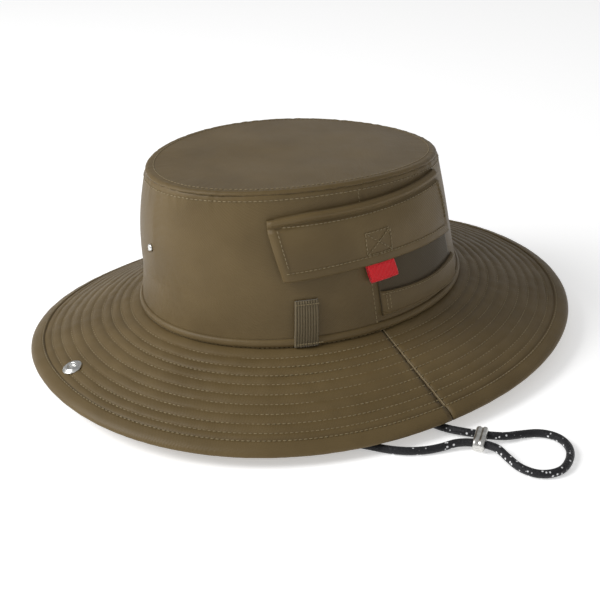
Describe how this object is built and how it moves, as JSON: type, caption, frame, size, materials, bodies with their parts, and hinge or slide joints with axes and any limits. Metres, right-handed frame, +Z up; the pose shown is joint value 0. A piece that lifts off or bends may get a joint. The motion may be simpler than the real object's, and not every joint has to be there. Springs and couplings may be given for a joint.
{
  "type": "bucket hat",
  "caption": "Wide-brim soft hat with an oval crown, quilted brim, flapped side pocket, snap for the front brim and a chin cord with slider.",
  "frame": {"origin": "on the floor under the middle of the brim", "axes": "+Z up, -Y to the wearer's front where the snap is, +X to the wearer's left where the pocket is"},
  "size_m": [0.3795, 0.354, 0.1263],
  "materials": {
    "shell_cloth": "satin olive-brown nylon twill",
    "lining_cloth": "matt dark olive mesh lining",
    "interlining": "stiff matt interlining",
    "sweatband_cloth": "soft matt dark band",
    "elastic": "ribbed elastic webbing",
    "red_webbing": "red twill webbing",
    "hook_loop": "matt hook-and-loop tape",
    "snap_metal": "polished nickel",
    "slider_metal": "worn bright metal",
    "cord_braid": "black braid with reflective flecks",
    "label_cloth": "plain woven label"
  },
  "bodies": {
    "hat": {"crown_side_front": "shell_cloth", "crown_side_back": "shell_cloth", "crown_tip": "shell_cloth", "crown_side_lining": "lining_cloth", "crown_tip_lining": "lining_cloth", "sweatband": "sweatband_cloth", "size_label": "label_cloth", "pocket_back": "shell_cloth", "pocket_front": "shell_cloth", "pocket_loop_patch": "hook_loop", "flap_welt": "shell_cloth", "utility_loop": "elastic", "brim_top_front": "shell_cloth", "brim_top_back": "shell_cloth", "brim_under_front": "shell_cloth", "brim_under_back": "shell_cloth", "brim_core": "interlining", "brim_binding": "shell_cloth", "snap_stud": "snap_metal", "snap_stud_back": "snap_metal", "cord_anchor_left": "shell_cloth", "cord_anchor_right": "shell_cloth", "chin_cord": "cord_braid"},
    "brim_turnup": {"brim_top_turnup": "shell_cloth", "brim_under_turnup": "shell_cloth", "brim_core_turnup": "interlining", "brim_binding_turnup": "shell_cloth", "snap_socket": "snap_metal", "snap_cap": "snap_metal"},
    "pocket_flap": {"flap_outer": "shell_cloth", "flap_lining": "lining_cloth", "flap_hook_patch": "hook_loop", "pull_tab": "red_webbing"},
    "cord_slider": {"cord_slide": "slider_metal"}
  },
  "joints": [
    {"name": "brim_fold", "type": "hinge", "parent": "hat", "child": "brim_turnup", "pos_m": [0, -0.112, 0.0362], "axis": [-1, 0, 0], "range_deg": [0, 112]},
    {"name": "flap_lift", "type": "hinge", "parent": "hat", "child": "pocket_flap", "pos_m": [0.0824, 0, 0.1092], "axis": [0, -1, 0], "range_deg": [0, 85]},
    {"name": "slider_slide", "type": "slide", "parent": "hat", "child": "cord_slider", "axis": [0.7507, 0.6606, 0], "range_m": [-0.003, 0.0025]}
  ]
}
